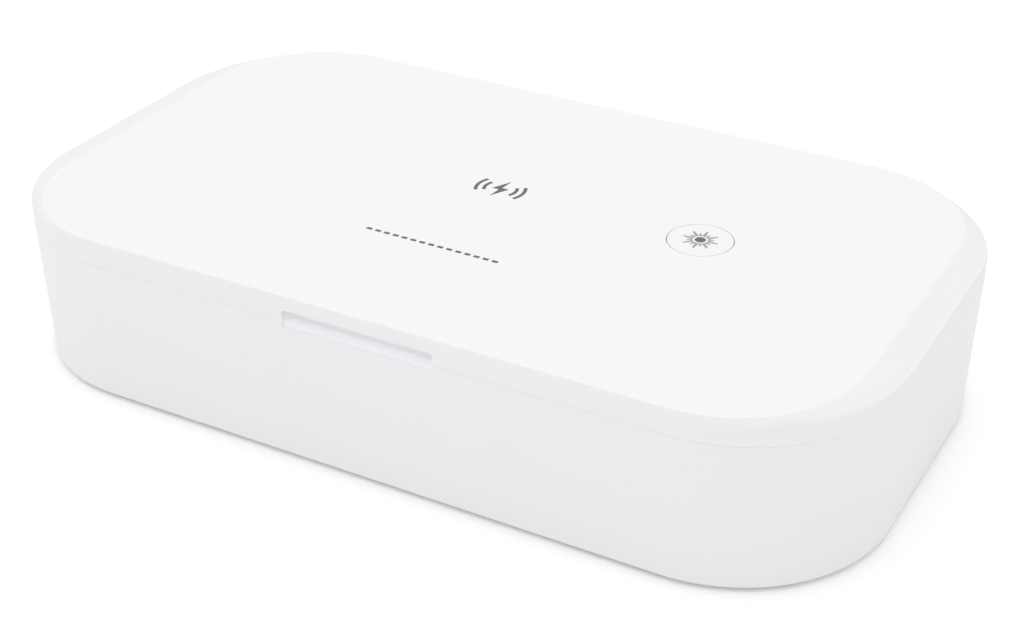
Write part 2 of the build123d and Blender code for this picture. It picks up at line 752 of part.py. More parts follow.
with BuildPart() as lid_windows:
    with Locations(*[(x, y, lid_window_seat) for x, y in lid_lamp_points]):
        Box(window_side, window_side, window_thickness, align=(Align.CENTER, Align.CENTER, Align.MIN))
lid_windows.part.label = "lid_windows"

# ---------------------------------------------------------------- charging coil and ferrite
with BuildPart() as charging_coil:
    with BuildSketch(Plane.XY.offset(coil_top)):
        with Locations((coil_x, coil_y)):
            Circle(coil_radius)
            Circle(coil_hole_radius, mode=Mode.SUBTRACT)
    extrude(amount=-coil_thickness)
    # the two ends of the winding run down to the control board
    lead_start = coil_x + coil_radius - coil_lead_run
    lead_bend = coil_x + coil_radius + coil_lead_run
    lead_landing = control_board_x - control_board_length / 2
    for side in (-1, 1):
        with BuildSketch(Plane.XZ.offset(-coil_y - side * coil_lead_spacing / 2)):
            with BuildLine():
                Polyline(
                    (lead_start, coil_top),
                    (lead_bend, coil_top),
                    (lead_landing, control_board_top + coil_lead_thickness),
                    (lead_landing + coil_lead_tail, control_board_top + coil_lead_thickness),
                    (lead_landing + coil_lead_tail, control_board_top),
                    (lead_landing, control_board_top),
                    (lead_bend, coil_top - coil_lead_thickness),
                    (lead_start, coil_top - coil_lead_thickness),
                    close=True,
                )
            make_face()
        extrude(amount=coil_lead_width / 2, both=True)
charging_coil.part.label = "charging_coil"

with BuildPart() as ferrite_sheet:
    with Locations((coil_x, coil_y, ferrite_top)):
        Box(ferrite_side, ferrite_side, ferrite_thickness, align=(Align.CENTER, Align.CENTER, Align.MAX))
ferrite_sheet.part.label = "ferrite_sheet"

# ---------------------------------------------------------------- control board and switch
with BuildPart() as control_board:
    with BuildSketch(Plane.XY.offset(control_board_bottom)):
        with Locations((control_board_x, control_board_y)):
            Rectangle(control_board_length, control_board_width)
        cut_peg_holes(control_peg_points)
    extrude(amount=board_thickness)
control_board.part.label = "control_board"

with BuildPart() as control_parts:
    with Locations(*[(x, y, control_board_bottom) for x, y in control_part_points]):
        Box(
            control_part_side, control_part_side, control_part_height,
            align=(Align.CENTER, Align.CENTER, Align.MAX),
        )
control_parts.part.label = "control_parts"

with BuildPart() as hall_sensor:
    with Locations((
        control_board_x + control_board_length / 2 - hall_margin,
        control_board_y,
        control_board_bottom,
    )):
        Box(hall_length, hall_width, hall_height, align=(Align.CENTER, Align.CENTER, Align.MAX))
hall_sensor.part.label = "hall_sensor"

with BuildPart() as status_leds:
    with Locations(*[
        (button_x, button_y + side * status_led_offset, control_board_top) for side in (-1, 1)
    ]):
        Box(
            status_led_length, status_led_width, status_led_height,
            align=(Align.CENTER, Align.CENTER, Align.MIN),
        )
status_leds.part.label = "status_leds"

with BuildPart() as button_switch:
    well_side = switch_stem_side + 2 * switch_stem_gap
    with Locations((button_x, button_y, control_board_top)):
        Box(switch_side, switch_side, switch_height, align=(Align.CENTER, Align.CENTER, Align.MIN))
    with Locations((button_x, button_y, switch_top)):
        Box(
            well_side, well_side, switch_well_depth,
            align=(Align.CENTER, Align.CENTER, Align.MAX), mode=Mode.SUBTRACT,
        )
button_switch.part.label = "button_switch"

with BuildPart() as switch_stem:
    stem_length = switch_stem_height + switch_well_depth - switch_stem_seat - button_travel
    with Locations((button_x, button_y, stem_top)):
        Box(
            switch_stem_side, switch_stem_side, stem_length,
            align=(Align.CENTER, Align.CENTER, Align.MAX),
        )
switch_stem.part.label = "switch_stem"

# ---------------------------------------------------------------- button cap
with BuildPart() as button_cap:
    with Locations((button_x, button_y, height)):
        Cylinder(button_radius, height - button_flange_top, align=(Align.CENTER, Align.CENTER, Align.MAX))
    with Locations((button_x, button_y, button_flange_top)):
        Box(
            button_flange_side, button_flange_side, button_flange_thickness,
            align=(Align.CENTER, Align.CENTER, Align.MAX),
        )
    with Locations((button_x, button_y, button_flange_bottom)):
        Box(
            button_post_side, button_post_side, button_flange_bottom - stem_top,
            align=(Align.CENTER, Align.CENTER, Align.MAX),
        )
button_cap.part.label = "button_cap"

# ---------------------------------------------------------------- flat leads
with BuildPart() as base_harness:
    # from under the power board along the floor to the lamp boards
    ribbon_end_y = power_board_y - power_board_width / 2 + base_ribbon_end
    for side in (-1, 1):
        ribbon_x = side * (max(base_lamp_xs) - base_ribbon_inset)
        ribbon_end_x = side * (power_board_length / 2 - base_ribbon_tail)
        with BuildSketch(Plane.XY.offset(floor_top)):
            with Locations((ribbon_x, -ribbon_width / 2)):
                Rectangle(ribbon_width, ribbon_end_y + ribbon_width, align=(Align.CENTER, Align.MIN))
            with Locations(((ribbon_x + ribbon_end_x) / 2, ribbon_end_y)):
                Rectangle(abs(ribbon_x - ribbon_end_x), ribbon_width)
        extrude(amount=ribbon_thickness)
        with Locations((ribbon_x, 0, floor_top)):
            Box(
                ribbon_width, ribbon_thickness, base_lamp_board_top - lamp_board_thickness - floor_top,
                align=(Align.CENTER, Align.CENTER, Align.MIN),
            )
        with Locations((ribbon_end_x, ribbon_end_y, floor_top)):
            Box(
                ribbon_thickness, ribbon_width, power_board_standoff,
                align=(Align.CENTER, Align.CENTER, Align.MIN),
            )
base_harness.part.label = "base_harness"

with BuildPart() as lid_harness:
    # from the control board to the lamp strips
    for side in (-1, 1):
        board_edge_y = control_board_y + side * control_board_width / 2
        strip_edge_y = side * (lid_lamp_y - lid_strip_width / 2)
        strip_top = lid_strip_bottom + lamp_board_thickness
        with BuildSketch(Plane.YZ.offset(control_board_x + lid_ribbon_offset)):
            with BuildLine():
                Polyline(
                    (board_edge_y - side * lid_ribbon_tail, control_board_bottom),
                    (board_edge_y, control_board_bottom),
                    (strip_edge_y, strip_top + ribbon_thickness),
                    (strip_edge_y + side * lid_ribbon_tail, strip_top + ribbon_thickness),
                    (strip_edge_y + side * lid_ribbon_tail, strip_top),
                    (strip_edge_y, strip_top),
                    (board_edge_y, control_board_bottom - ribbon_thickness),
                    (board_edge_y - side * lid_ribbon_tail, control_board_bottom - ribbon_thickness),
                    close=True,
                )
            make_face()
        extrude(amount=ribbon_width / 2, both=True)
lid_harness.part.label = "lid_harness"

# ---------------------------------------------------------------- screws
with BuildPart() as tray_screws:
    with Locations(*[(x, y, tray_screw_seat) for x, y in tray_screw_points]):
        Cylinder(screw_head_radius, screw_head_height, align=(Align.CENTER, Align.CENTER, Align.MAX))
        Cylinder(screw_radius, screw_length, align=(Align.CENTER, Align.CENTER, Align.MIN))
tray_screws.part.label = "tray_screws"

# ---------------------------------------------------------------- export
builders = [
    base_shell, chamber_tray, lid_shell, lid_liner, hinge_pins, rubber_feet, lid_bumpers, lid_magnet,
    power_board, power_parts, usb_socket, usb_tongue, base_lamp_boards, lid_lamp_strips, base_windows,
    lid_windows, charging_coil, ferrite_sheet, control_board, control_parts, hall_sensor, status_leds,
    button_switch, switch_stem, button_cap, base_harness, lid_harness, tray_screws,
]
for builder in builders + lamps:
    export_step(builder.part, f"parts/{builder.part.label}.step")
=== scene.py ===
"""Dresses the ultraviolet sanitizer box: mouldings, mirror coating, marks, metal, boards and the studio."""
import json
from math import cos, hypot, pi, radians, sin

import bmesh
import bpy
from mathutils import Matrix, Vector


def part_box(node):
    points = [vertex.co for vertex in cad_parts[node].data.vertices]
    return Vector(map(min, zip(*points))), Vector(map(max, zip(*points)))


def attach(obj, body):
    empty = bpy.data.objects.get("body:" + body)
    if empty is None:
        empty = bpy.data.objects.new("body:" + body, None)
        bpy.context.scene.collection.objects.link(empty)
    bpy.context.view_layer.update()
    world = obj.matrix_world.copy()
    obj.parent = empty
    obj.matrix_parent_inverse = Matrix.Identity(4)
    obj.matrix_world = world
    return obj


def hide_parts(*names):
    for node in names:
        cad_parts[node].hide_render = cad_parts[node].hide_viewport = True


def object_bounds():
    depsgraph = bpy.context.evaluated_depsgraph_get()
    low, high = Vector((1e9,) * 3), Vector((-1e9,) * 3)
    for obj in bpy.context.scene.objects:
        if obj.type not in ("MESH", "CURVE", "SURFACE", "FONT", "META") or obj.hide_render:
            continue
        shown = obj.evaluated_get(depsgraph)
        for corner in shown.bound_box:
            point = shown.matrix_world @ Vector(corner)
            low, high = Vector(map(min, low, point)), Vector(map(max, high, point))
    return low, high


bl_info = {
    "name": "Sanitizer Box",
    "version": (1, 0, 0),
    "blender": (4, 5, 0),
    "location": "View3D > Sidebar > Sanitizer",
    "description": "Dresses an ultraviolet sanitizer box for phones, piece by piece",
    "category": "Object",
}

MM = 0.001
NEAR = 0.01 * MM  # a corner this close to a level counts as on it
SMOOTH_BEND = radians(28.0)  # faces that bend by less shade as one surface
SHARP_BEND = radians(30.0)  # an edge that bends by more may be rounded
TOP_SINK = 1.5  # the lid's top is lowered by this many thicknesses of ink, so that the marks stay inside the box

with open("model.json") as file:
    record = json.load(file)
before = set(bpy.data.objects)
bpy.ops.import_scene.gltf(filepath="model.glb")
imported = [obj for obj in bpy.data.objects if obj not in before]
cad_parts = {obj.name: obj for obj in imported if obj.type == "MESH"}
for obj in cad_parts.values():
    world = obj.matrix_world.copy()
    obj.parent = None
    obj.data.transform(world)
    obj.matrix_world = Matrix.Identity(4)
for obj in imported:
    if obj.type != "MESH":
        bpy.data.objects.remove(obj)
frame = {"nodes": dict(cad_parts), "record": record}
CAD_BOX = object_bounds()
NODES = frame["nodes"]
BODY_OF = {node: body for body, nodes in frame["record"]["behaviour"]["bodies"].items() for node in nodes}


# ---------------------------------------------------------------- settings
class SanitizerSizes(bpy.types.PropertyGroup):
    """Sizes that the dressing adds to the frame."""

    corner_radius: bpy.props.FloatProperty(
        name="Corner radius", description="Radius of the box's corners in plan",
        default=38.0 * MM, unit="LENGTH", precision=5,
    )
    facet_drop: bpy.props.FloatProperty(
        name="Facet drop", description="From the lid's flat top down to the outer rim of its end slopes",
        default=1.2 * MM, unit="LENGTH", precision=5,
    )
    edge_round: bpy.props.FloatProperty(
        name="Edge round", description="Width of the rounding on the outer edges of the mouldings",
        default=0.18 * MM, unit="LENGTH", precision=5,
    )
    parting_round: bpy.props.FloatProperty(
        name="Parting round", description="Width of the rounding on the base's rim, where the lid meets it",
        default=0.22 * MM, unit="LENGTH", precision=5,
    )
    foot_round: bpy.props.FloatProperty(
        name="Foot round", description="Width of the rounding round the bottom of the base",
        default=2.6 * MM, unit="LENGTH", precision=5,
    )
    scoop_width: bpy.props.FloatProperty(
        name="Scoop width", description="Width of the hollow under the finger notch",
        default=37.98 * MM, unit="LENGTH", precision=5,
    )
    ledge_drop: bpy.props.FloatProperty(
        name="Ledge drop", description="From the base's rim down to the ledge that the hollow stands on",
        default=1.0 * MM, unit="LENGTH", precision=5,
    )
    ink_depth: bpy.props.FloatProperty(
        name="Ink thickness", description="How far the printed marks stand on the lid",
        default=0.02 * MM, unit="LENGTH", precision=6,
    )
    charge_mark: bpy.props.FloatProperty(
        name="Charging mark", description="Width of the charging mark",
        default=13.0 * MM, unit="LENGTH", precision=5,
    )
    charge_offset: bpy.props.FloatProperty(
        name="Charging mark offset", description="From the middle of the charging coil towards the hinge",
        default=3.5 * MM, unit="LENGTH", precision=5,
    )
    rim_lift: bpy.props.FloatProperty(
        name="Rim lift", description="How far the base's rim rises into the gap under the lid",
        default=0.195 * MM, unit="LENGTH", precision=5,
    )
    guide_length: bpy.props.FloatProperty(
        name="Guide line", description="Length of the row of dashes in front of the charging mark",
        default=35.5 * MM, unit="LENGTH", precision=5,
    )
    guide_offset: bpy.props.FloatProperty(
        name="Guide line offset", description="From the middle of the charging coil towards the front",
        default=28.7 * MM, unit="LENGTH", precision=5,
    )
    guide_dashes: bpy.props.IntProperty(
        name="Guide dashes", description="Number of dashes in the guide line", default=15, min=1,
    )
    cap_fill: bpy.props.FloatProperty(
        name="Cap fill", description="How much the button's cap widens to close its ring gap",
        default=1.012, min=1.0, max=1.02,
    )
    sun_mark: bpy.props.FloatProperty(
        name="Sun mark", description="Width of the mark on the button",
        default=8.6 * MM, unit="LENGTH", precision=5,
    )
    thread_pitch: bpy.props.FloatProperty(
        name="Thread pitch", description="Pitch of the thread of the tray screws",
        default=0.8 * MM, unit="LENGTH", precision=5,
    )


class SanitizerColours(bpy.types.PropertyGroup):
    """Colours and gloss of the finishes."""

    shell: bpy.props.FloatVectorProperty(
        name="Shell", description="Colour of the white mouldings",
        default=(0.872, 0.872, 0.892), size=3, subtype="COLOR", min=0.0, max=1.0,
    )
    shell_gloss: bpy.props.FloatProperty(
        name="Shell roughness", description="Roughness of the white mouldings",
        default=0.45, min=0.0, max=1.0, subtype="FACTOR",
    )
    mirror: bpy.props.FloatVectorProperty(
        name="Mirror", description="Colour of the evaporated metal in the chamber",
        default=(0.86, 0.87, 0.88), size=3, subtype="COLOR", min=0.0, max=1.0,
    )
    ink: bpy.props.FloatVectorProperty(
        name="Ink", description="Colour of the printed marks",
        default=(0.11, 0.11, 0.12), size=3, subtype="COLOR", min=0.0, max=1.0,
    )
    ray_ink: bpy.props.FloatVectorProperty(
        name="Ray ink", description="Colour of the thin rays of the sun mark",
        default=(0.34, 0.34, 0.35), size=3, subtype="COLOR", min=0.0, max=1.0,
    )
    solder_mask: bpy.props.FloatVectorProperty(
        name="Solder mask", description="Colour of the circuit boards",
        default=(0.02, 0.16, 0.07), size=3, subtype="COLOR", min=0.0, max=1.0,
    )
    floor: bpy.props.FloatVectorProperty(
        name="Floor", description="Colour of the studio floor",
        default=(0.95, 0.95, 0.95), size=3, subtype="COLOR", min=0.0, max=1.0,
    )


class SanitizerStudio(bpy.types.PropertyGroup):
    """Camera and light."""

    azimuth: bpy.props.FloatProperty(
        name="Azimuth", description="Camera's turn from the front towards the right end",
        default=radians(28.971), subtype="ANGLE",
    )
    elevation: bpy.props.FloatProperty(
        name="Elevation", description="Camera's height above the table, as an angle",
        default=radians(30.612), subtype="ANGLE",
    )
    roll: bpy.props.FloatProperty(
        name="Roll", description="Camera's turn about its own axis",
        default=radians(-0.139), subtype="ANGLE",
    )
    distance: bpy.props.FloatProperty(
        name="Distance", description="Camera to the middle of the box's footprint, along the view",
        default=463.293 * MM, unit="LENGTH",
    )
    pan_right: bpy.props.FloatProperty(
        name="Pan right", description="Camera's shift to the right in its own plane",
        default=3.604 * MM, unit="LENGTH",
    )
    pan_up: bpy.props.FloatProperty(
        name="Pan up", description="Camera's shift upwards in its own plane",
        default=9.175 * MM, unit="LENGTH",
    )
    lens: bpy.props.FloatProperty(
        name="Lens", description="Focal length on a sensor 36 mm wide", default=65.666, min=10.0,
    )
    ambient: bpy.props.FloatProperty(
        name="Ambient", description="Strength of the even light from all round", default=0.885, min=0.0,
    )
    floor_glow: bpy.props.FloatProperty(
        name="Floor glow", description="Share of the floor's whiteness that shows whatever the light",
        default=0.12, min=0.0, max=1.0, subtype="FACTOR",
    )
    overhead: bpy.props.FloatProperty(
        name="Overhead", description="Power of the soft box above, in watts", default=1.65, min=0.0,
    )
    side: bpy.props.FloatProperty(
        name="Side", description="Power of the soft box beyond the left front corner, in watts",
        default=0.2, min=0.0,
    )


# ---------------------------------------------------------------- shader expressions
class Value:
    """A number socket of a shader tree that takes part in Python expressions."""

    def __init__(self, nodes, socket):
        self.nodes = nodes
        self.socket = socket

    def math(self, operation, *others):
        values = dict(enumerate((self, *others)))
        return Value(self.nodes, self.nodes.add("ShaderNodeMath", {"operation": operation}, values).outputs[0])

    def __add__(self, other):
        return self.math("ADD", other)

    def __mul__(self, other):
        return self.math("MULTIPLY", other)

    __radd__ = __add__
    __rmul__ = __mul__

    def __sub__(self, other):
        return self.math("SUBTRACT", other)

    def __rsub__(self, other):
        return self * -1.0 + other

    def __lt__(self, other):
        return self.math("LESS_THAN", other)

    def wave(self):
        """0 to 1 and back over each turn of 2 pi."""
        return self.math("SINE") * 0.5 + 0.5

    def fraction(self):
        return self.math("FRACT")

    def smooth(self, low, high):
        """0 below low, 1 above high, eased between."""
        values = {"Value": self, "From Min": low, "From Max": high}
        node = self.nodes.add("ShaderNodeMapRange", {"interpolation_type": "SMOOTHSTEP"}, values)
        return Value(self.nodes, node.outputs["Result"])


class Nodes:
    """A shader tree whose nodes all come from one method."""

    def __init__(self, tree):
        self.tree = tree

    def add(self, kind, settings=None, values=None):
        """A new node with its settings, then the values or links of its sockets."""
        node = self.tree.nodes.new(kind)
        for name, setting in (settings or {}).items():
            setattr(node, name, setting)
        for socket, value in (values or {}).items():
            self.feed(node.inputs[socket], value)
        return node

    def feed(self, socket, value):
        if isinstance(value, Value):
            value = value.socket
        if isinstance(value, bpy.types.NodeSocket):
            self.tree.links.new(value, socket)
        else:
            socket.default_value = value

    def mix(self, factor, first, second):
        """Colour that goes from first to second."""
        first, second = ((*colour[:3], 1.0) for colour in (first, second))
        return self.add("ShaderNodeMix", {"data_type": "RGBA"}, {"Factor": factor, 6: first, 7: second}).outputs[2]

    def seen_directly(self):
        """1 for what the camera sees straight, in a mirror or through glass."""
        rays = self.add("ShaderNodeLightPath").outputs
        seen = Value(self, rays["Is Camera Ray"]) + Value(self, rays["Is Glossy Ray"])
        return (seen + Value(self, rays["Is Transmission Ray"])).math("MINIMUM", 1.0)


class Finish(Nodes):
    """A Principled material with the nodes that vary it over a surface."""

    def __init__(self, name, colour, roughness, metallic=0.0, **constants):
        self.material = bpy.data.materials.new(name)
        self.material.use_nodes = True
        super().__init__(self.material.node_tree)
        self.shader = self.tree.nodes["Principled BSDF"]
        constants |= {"base_color": (*colour, 1.0), "roughness": roughness, "metallic": metallic}
        for socket, constant in constants.items():
            self.paint(socket.replace("_", " ").title().replace("Ior", "IOR"), constant)
        self.place = self.add("ShaderNodeTexCoord").outputs["Object"]

    def paint(self, socket, source):
        """Sets a socket of the shader, or links what varies over the surface to it."""
        self.feed(self.shader.inputs[socket], source)

    def stretched(self, scale, centre=(0.0, 0.0, 0.0)):
        """Object place about a centre, stretched along the axes."""
        offset = tuple(-part * factor for part, factor in zip(centre, scale))
        values = {"Vector": self.place, "Location": offset, "Scale": scale}
        return self.add("ShaderNodeMapping", values=values).outputs[0]

    def noise(self, scale, detail=2.0, place=None):
        values = {"Vector": place or self.place, "Scale": scale, "Detail": detail}
        return Value(self, self.add("ShaderNodeTexNoise", values=values).outputs["Fac"])

    def axis(self, axis):
        return Value(self, self.add("ShaderNodeSeparateXYZ", values={"Vector": self.place}).outputs[axis])

    def length(self, place):
        return Value(self, self.add("ShaderNodeVectorMath", {"operation": "LENGTH"}, {0: place}).outputs["Value"])

    def relief(self, height, depth):
        """Bump of a height between 0 and 1, with its depth in metres."""
        bump = self.add("ShaderNodeBump", values={"Height": height, "Distance": depth, "Strength": 1.0})
        self.paint("Normal", bump.outputs["Normal"])


def shade(colour, factor):
    return tuple(min(part * factor, 1.0) for part in colour[:3])


# ---------------------------------------------------------------- finishes
def moulded_white(name, colour, roughness, crown=None):
    """Fine spark-eroded grain with the faint waves and tone changes of a thin moulding.

    A lid's crown is given by the heights of its rim and its flat top: its two end slopes get painted shade, a few
    percent darker, standing in for less light falling on them.
    """
    finish = Finish(name, colour, roughness, specular_ior_level=0.12)
    grain = finish.noise(3200.0, 2.0)
    waves = finish.noise(22.0, 1.0)
    tone = finish.noise(9.0, 2.0).smooth(0.3, 0.7)
    darkest = 0.99
    # painted shade: on a crown, the two end slopes are darkened to about 0.95 of the white
    if crown:
        rim, top = crown
        edge = top - 0.05 * MM
        height = finish.axis(2)
        above_rim = height.smooth(rim - 0.2 * MM, rim)
        below_top = 1.0 - height.smooth(edge - 0.08 * MM, edge)
        at_ends = finish.axis(0).math("ABSOLUTE").smooth(80.0 * MM, 98.0 * MM)
        painted_slope_shade = above_rim * below_top * at_ends
        tone = tone * 0.25 + (1.0 - painted_slope_shade) * 0.75
        darkest = 0.95
    finish.paint("Base Color", finish.mix(tone, shade(colour, darkest), shade(colour, 1.003)))
    finish.paint("Roughness", roughness - 0.03 + grain * 0.06 + waves * 0.02)
    finish.relief(grain * 0.12 + waves, 0.02 * MM)
    return finish.material


def white_with_painted_light(name, colour, level):
    """The same white, painted lighter below a level as light on the hollow's upward slope, and a little smoother
    there.
    """
    finish = Finish(name, colour, 0.4, specular_ior_level=0.12)
    painted_light_band = 1.0 - finish.axis(2).smooth(level - 0.5 * MM, level + 0.3 * MM)
    grain = finish.noise(3200.0, 2.0)
    bright = painted_light_band * 0.9 + grain * 0.1
    # painted light: below the level the white is raised towards 1.12 times its colour
    finish.paint("Base Color", finish.mix(bright, shade(colour, 0.96), shade(colour, 1.12)))
    finish.paint("Roughness", 0.45 - painted_light_band * 0.15 + grain * 0.05)
    finish.relief(grain, 0.004 * MM)
    return finish.material


def mirror_coating(name, colour):
    """Evaporated metal over a moulding: bright, with slight haze and orange peel."""
    finish = Finish(name, colour, 0.16, 1.0)
    peel = finish.noise(260.0, 2.0)
    haze = finish.noise(35.0, 3.0)
    finish.paint("Base Color", finish.mix(haze.smooth(0.35, 0.7), shade(colour, 0.97), shade(colour, 1.02)))
    finish.paint("Roughness", 0.12 + haze * 0.10)
    finish.relief(peel, 0.008 * MM)
    return finish.material


def soft_rubber(name, colour):
    """Dull rubber with fine grain and a little dust."""
    finish = Finish(name, colour, 0.75, specular_ior_level=0.3)
    grain = finish.noise(1800.0, 3.0)
    dust = finish.noise(120.0, 3.0)
    finish.paint("Base Color", finish.mix(dust.smooth(0.45, 0.8), colour, shade(colour, 1.35)))
    finish.paint("Roughness", 0.68 + grain * 0.2)
    finish.relief(grain, 0.03 * MM)
    return finish.material


def turned_steel(name, colour, along):
    """Fine lines round the turning axis, stretched along it for drawn wire."""
    scale = tuple(40.0 if axis == along else 2500.0 for axis in range(3))
    finish = Finish(name, colour, 0.28, 1.0)
    lines = finish.noise(1.0, 3.0, finish.stretched(scale))
    finish.paint("Base Color", finish.mix(lines.smooth(0.3, 0.7), shade(colour, 0.92), shade(colour, 1.05)))
    finish.paint("Roughness", 0.2 + lines * 0.16)
    finish.relief(lines, 0.004 * MM)
    return finish.material


def rolled_thread(name, colour, reach, shank, pitch):
    """Plated steel with a thread rolled on the shanks that stand above a level, one each side of the middle."""
    finish = Finish(name, colour, 0.3, 1.0)
    across = finish.axis(0).math("ABSOLUTE") - reach
    turn = finish.axis(1).math("ARCTAN2", across)
    flank = (finish.axis(2) * (2.0 * pi / pitch) + turn).wave()
    threaded = finish.axis(2).smooth(shank, shank + 0.1 * MM)
    wear = finish.noise(700.0, 3.0)
    finish.paint("Base Color", finish.mix(wear.smooth(0.3, 0.7), shade(colour, 0.9), shade(colour, 1.08)))
    finish.paint("Roughness", 0.24 + wear * 0.14)
    finish.relief(flank * threaded, 0.35 * MM)
    return finish.material


def circuit_board(name, colour):
    """Solder mask over copper: tracks a little lighter than the ground between them."""
    finish = Finish(name, colour, 0.32, specular_ior_level=0.5)
    across = (finish.axis(0) * 520.0 + finish.noise(60.0, 0.0) * 5.0).fraction()
    along = (finish.axis(1) * 430.0 + finish.noise(45.0, 0.0) * 4.0).fraction()
    patches = finish.noise(95.0, 0.0).smooth(0.49, 0.51)
    tracks = (across < 0.42) * patches + (along < 0.42) * (1.0 - patches)
    finish.paint("Base Color", finish.mix(tracks, shade(colour, 0.8), shade(colour, 1.7)))
    finish.paint("Roughness", 0.36 - tracks * 0.08)
    finish.relief(tracks, 0.02 * MM)
    return finish.material


def lamp_board(name, colour):
    """White mask on a metal core, with tinned pads showing as duller spots."""
    finish = Finish(name, colour, 0.42)
    pads = finish.noise(300.0, 0.0).smooth(0.62, 0.64)
    finish.paint("Base Color", finish.mix(pads, colour, (0.62, 0.62, 0.60)))
    finish.paint("Metallic", pads * 0.9)
    finish.relief(finish.noise(900.0, 2.0), 0.006 * MM)
    return finish.material


def moulding_compound(name, colour):
    """Black epoxy of chips and sockets."""
    finish = Finish(name, colour, 0.55)
    grain = finish.noise(4000.0, 3.0)
    finish.paint("Base Color", finish.mix(grain.smooth(0.3, 0.7), shade(colour, 0.8), shade(colour, 1.3)))
    finish.paint("Roughness", 0.48 + grain * 0.16)
    finish.relief(grain, 0.01 * MM)
    return finish.material


def lamp_ceramic(name, colour):
    """Pale yellow ceramic of the lamps' bodies."""
    finish = Finish(name, colour, 0.4)
    grain = finish.noise(1500.0, 2.0)
    finish.paint("Base Color", finish.mix(grain.smooth(0.3, 0.7), shade(colour, 0.94), shade(colour, 1.04)))
    finish.relief(grain, 0.008 * MM)
    return finish.material


def quartz(name, colour):
    """Clear plate with slight smears."""
    finish = Finish(name, colour, 0.03, transmission_weight=1.0, ior=1.46)
    smear = finish.noise(180.0, 2.0)
    finish.paint("Roughness", 0.01 + smear * 0.04)
    return finish.material


def wound_wire(name, colour, centre, pitch):
    """Turns of enamelled wire lying side by side round a centre, with painted shade in the grooves between turns and
    painted highlight on their crowns.
    """
    finish = Finish(name, colour, 0.35, 0.85, coat_weight=0.4)
    place = finish.stretched((1.0, 1.0, 0.0), (centre[0], centre[1], 0.0))
    turns = (finish.length(place) * (2.0 * pi / pitch)).wave()
    # painted shade and highlight: each turn goes from 0.45 of the colour in its grooves to 1.1 on its crown
    finish.paint("Base Color", finish.mix(turns, shade(colour, 0.45), shade(colour, 1.1)))
    finish.paint("Roughness", 0.5 - turns * 0.2)
    finish.relief(turns, 0.15 * MM)
    return finish.material


def sintered(name, colour):
    """Pressed and sintered ferrite, speckled."""
    finish = Finish(name, colour, 0.6)
    grain = finish.noise(1600.0, 4.0)
    finish.paint("Base Color", finish.mix(grain.smooth(0.35, 0.7), shade(colour, 0.7), shade(colour, 1.5)))
    finish.relief(grain, 0.015 * MM)
    return finish.material


def flat_cable(name, colour, axis):
    """Parallel conductors that show through a pale film."""
    finish = Finish(name, colour, 0.35)
    ribs = (finish.axis(axis) * (2.0 * pi / MM)).wave()
    finish.paint("Base Color", finish.mix(ribs.smooth(0.3, 0.8), colour, (0.55, 0.42, 0.30)))
    finish.relief(ribs, 0.05 * MM)
    return finish.material


def printed_ink(name, colour):
    """Pad-printed ink whose cover varies a little."""
    finish = Finish(name, colour, 0.5)
    cover = finish.noise(2500.0, 3.0)
    finish.paint("Base Color", finish.mix(cover.smooth(0.3, 0.8), shade(colour, 0.9), shade(colour, 1.25)))
    finish.paint("Roughness", 0.42 + cover * 0.15)
    return finish.material


# ---------------------------------------------------------------- mesh helpers
def mesh_of(bm, name):
    """The finished mesh of a bmesh, which is freed."""
    mesh = bpy.data.meshes.new(name)
    bm.to_mesh(mesh)
    bm.free()
    return mesh


def finished(name, mesh, material, node):
    """Puts a mesh in the scene as a piece with its finish; it rides with the node's body."""
    piece = bpy.data.objects.new(name, mesh)
    bpy.context.scene.collection.objects.link(piece)
    piece.data.materials.clear()
    piece.data.materials.append(material)
    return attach(piece, BODY_OF[node])


def merged_copy(node, flat_faces=True):
    """The node's closed mesh, its flat faces each in one piece where edges are to be rounded."""
    bm = bmesh.new()
    bm.from_mesh(NODES[node].data)
    bmesh.ops.remove_doubles(bm, verts=bm.verts, dist=0.0005 * MM)
    if flat_faces:
        bmesh.ops.dissolve_limit(
            bm, angle_limit=radians(0.4), use_dissolve_boundaries=False,
            verts=bm.verts, edges=bm.edges, delimit=set(),
        )
    return bm


def bend(edge):
    """Angle between the two faces of an edge."""
    return edge.calc_face_angle(0.0) if len(edge.link_faces) == 2 else 0.0


def bevelled(bm, edges, width, segments):
    """Rounds some edges."""
    bmesh.ops.bevel(
        bm, geom=edges, offset=width, offset_type="OFFSET", segments=segments, profile=0.5,
        affect="EDGES", clamp_overlap=True, material=-1,
    )


def rounded(bm, width, segments, chosen):
    """Rounds the sharp edges whose two ends are both chosen."""
    edges = [edge for edge in bm.edges if bend(edge) > SHARP_BEND and all(chosen(vert.co) for vert in edge.verts)]
    bevelled(bm, edges, width, segments)


def inset(point):
    """How far a point lies inside the box's plan outline."""
    radius = bpy.context.scene.sanitizer_sizes.corner_radius
    half = CAD_BOX[1]
    over_x = abs(point.x) - (half.x - radius)
    over_y = abs(point.y) - (half.y - radius)
    if over_x > 0.0 and over_y > 0.0:
        return radius - hypot(over_x, over_y)
    return radius - max(over_x, over_y)


def ink_level():
    """Height of the flat top under the marks."""
    return CAD_BOX[1].z - TOP_SINK * bpy.context.scene.sanitizer_sizes.ink_depth


def lowered(bm):
    """Lowers the highest faces to the level under the marks."""
    level = ink_level()
    for vert in bm.verts:
        vert.co.z = min(vert.co.z, level)


def blended_normals(bm):
    """At each corner the mean normal, by area, of the faces round it that bend little from its own."""
    bm.normal_update()
    least = cos(SMOOTH_BEND)
    weights = {face: face.normal * face.calc_area() for face in bm.faces}
    normals = []
    for face in bm.faces:
        for loop in face.loops:
            near = [weights[other] for other in loop.vert.link_faces if face.normal.dot(other.normal) > least]
            normals.append(sum(near, weights[face] * 0.001).normalized())
    return normals


